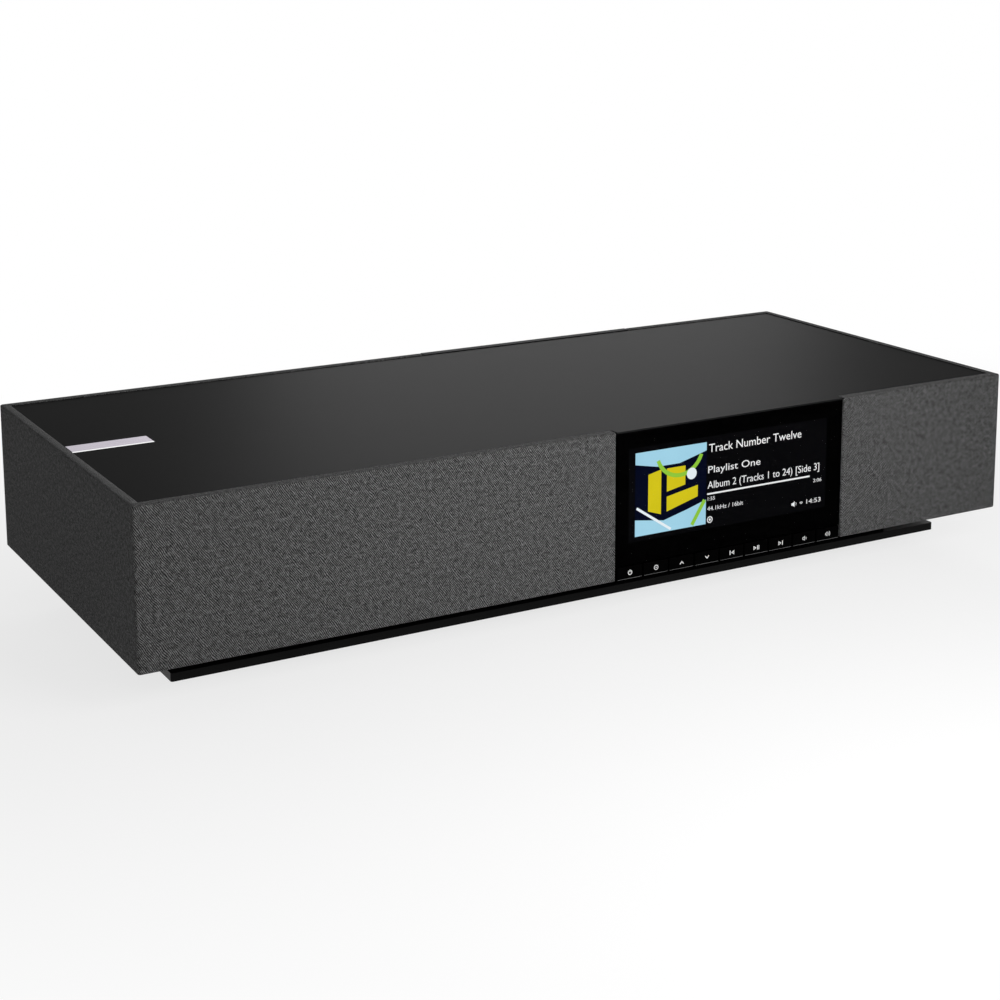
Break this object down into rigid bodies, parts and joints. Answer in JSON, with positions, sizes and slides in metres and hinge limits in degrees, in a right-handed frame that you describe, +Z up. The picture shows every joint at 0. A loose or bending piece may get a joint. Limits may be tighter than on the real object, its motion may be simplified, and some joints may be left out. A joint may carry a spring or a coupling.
{
  "type": "wireless speaker",
  "caption": "Long low wireless loudspeaker with cloth-covered ends, a black glass fascia with a display above a row of keys, a satin lid and a raised base plate.",
  "frame": {"origin": "on the floor under the middle of the cabinet's outline", "axes": "+X to the right seen from the front, +Y to the back, +Z up"},
  "size_m": [0.686, 0.29, 0.139],
  "materials": {
    "cloth": "heathered charcoal twill stretched over a frame",
    "satin_panel": "bead blasted and anodised dark grey, satin",
    "bare_metal": "brushed and bevelled",
    "black_glass": "polished, smoked black",
    "black_gloss": "moulded, polished black",
    "base_acrylic": "cast acrylic, black, polished edges",
    "plinth_black": "matt black",
    "foot_rubber": "matt black",
    "pan_steel": "powder coat, black",
    "fibreboard": "raw fibreboard",
    "seal_rubber": "soft foam rubber",
    "frame_plastic": "moulded, black",
    "screen": "lit colour screen",
    "circuit_board": "solder mask, green",
    "fin_aluminium": "anodised black",
    "rear_plastic": "fine texture, black",
    "socket_plastic": "moulded, black",
    "socket_metal": "plated",
    "socket_gold": "gold plated",
    "antenna_film": "copper film on plastic",
    "basket_steel": "black",
    "magnet_steel": "zinc plated",
    "piston": "coated fibre, dark grey",
    "dome": "coated fabric, hardened",
    "roll_rubber": "matt black"
  },
  "bodies": {
    "cabinet": {"base_plate": "base_acrylic", "plinth_rails": "plinth_black", "feet": "foot_rubber", "bottom_pan": "pan_steel", "left_enclosure": "fibreboard", "right_enclosure": "fibreboard", "enclosure_gaskets": "seal_rubber", "bass_ports": "frame_plastic", "grille_frame_left": "frame_plastic", "grille_frame_right": "frame_plastic", "grille_cloth_left": "cloth", "grille_cloth_right": "cloth", "top_panel": "satin_panel", "name_plate": "bare_metal", "front_bezel": "black_gloss", "display_glass": "black_glass", "display_module": "screen", "key_board": "circuit_board", "rear_panel": "rear_plastic", "mains_inlet": "socket_plastic", "network_socket": "socket_metal", "hdmi_socket": "socket_metal", "usb_socket": "socket_metal", "optical_socket": "socket_plastic", "line_in_sockets": "socket_gold", "power_supply_board": "circuit_board", "amplifier_board": "circuit_board", "heat_sink": "fin_aluminium", "main_board": "circuit_board", "wireless_antennas": "antenna_film", "woofer_frames": "basket_steel", "woofer_motors": "magnet_steel", "woofer_rolls": "roll_rubber", "tweeter_frames": "basket_steel", "tweeter_motors": "magnet_steel", "tweeter_rolls": "roll_rubber"},
    "key_power": {"key_power": "black_gloss"},
    "key_info": {"key_info": "black_gloss"},
    "key_up": {"key_up": "black_gloss"},
    "key_down": {"key_down": "black_gloss"},
    "key_previous": {"key_previous": "black_gloss"},
    "key_play_pause": {"key_play_pause": "black_gloss"},
    "key_next": {"key_next": "black_gloss"},
    "key_volume_down": {"key_volume_down": "black_gloss"},
    "key_volume_up": {"key_volume_up": "black_gloss"},
    "woofer_diaphragm_left": {"woofer_diaphragm_left": "piston"},
    "woofer_diaphragm_right": {"woofer_diaphragm_right": "piston"},
    "tweeter_dome_left": {"tweeter_dome_left": "dome"},
    "tweeter_dome_right": {"tweeter_dome_right": "dome"}
  },
  "joints": [
    {"name": "power_press", "type": "slide", "parent": "cabinet", "child": "key_power", "axis": [0, 1, 0], "range_m": [0, 0.0005], "stiffness_N_per_m": 400, "springref_m": -0.001},
    {"name": "info_press", "type": "slide", "parent": "cabinet", "child": "key_info", "axis": [0, 1, 0], "range_m": [0, 0.0005], "stiffness_N_per_m": 400, "springref_m": -0.001},
    {"name": "up_press", "type": "slide", "parent": "cabinet", "child": "key_up", "axis": [0, 1, 0], "range_m": [0, 0.0005], "stiffness_N_per_m": 400, "springref_m": -0.001},
    {"name": "down_press", "type": "slide", "parent": "cabinet", "child": "key_down", "axis": [0, 1, 0], "range_m": [0, 0.0005], "stiffness_N_per_m": 400, "springref_m": -0.001},
    {"name": "previous_press", "type": "slide", "parent": "cabinet", "child": "key_previous", "axis": [0, 1, 0], "range_m": [0, 0.0005], "stiffness_N_per_m": 400, "springref_m": -0.001},
    {"name": "play_pause_press", "type": "slide", "parent": "cabinet", "child": "key_play_pause", "axis": [0, 1, 0], "range_m": [0, 0.0005], "stiffness_N_per_m": 400, "springref_m": -0.001},
    {"name": "next_press", "type": "slide", "parent": "cabinet", "child": "key_next", "axis": [0, 1, 0], "range_m": [0, 0.0005], "stiffness_N_per_m": 400, "springref_m": -0.001},
    {"name": "volume_down_press", "type": "slide", "parent": "cabinet", "child": "key_volume_down", "axis": [0, 1, 0], "range_m": [0, 0.0005], "stiffness_N_per_m": 400, "springref_m": -0.001},
    {"name": "volume_up_press", "type": "slide", "parent": "cabinet", "child": "key_volume_up", "axis": [0, 1, 0], "range_m": [0, 0.0005], "stiffness_N_per_m": 400, "springref_m": -0.001},
    {"name": "woofer_left_stroke", "type": "slide", "parent": "cabinet", "child": "woofer_diaphragm_left", "axis": [0, -1, 0], "range_m": [-0.003, 0.003], "stiffness_N_per_m": 800, "deforming": ["woofer_rolls"]},
    {"name": "woofer_right_stroke", "type": "slide", "parent": "cabinet", "child": "woofer_diaphragm_right", "axis": [0, -1, 0], "range_m": [-0.003, 0.003], "stiffness_N_per_m": 800, "deforming": ["woofer_rolls"]},
    {"name": "tweeter_left_stroke", "type": "slide", "parent": "cabinet", "child": "tweeter_dome_left", "axis": [0, -1, 0], "range_m": [-0.0003, 0.0003], "stiffness_N_per_m": 1000, "deforming": ["tweeter_rolls"]},
    {"name": "tweeter_right_stroke", "type": "slide", "parent": "cabinet", "child": "tweeter_dome_right", "axis": [0, -1, 0], "range_m": [-0.0003, 0.0003], "stiffness_N_per_m": 1000, "deforming": ["tweeter_rolls"]}
  ]
}
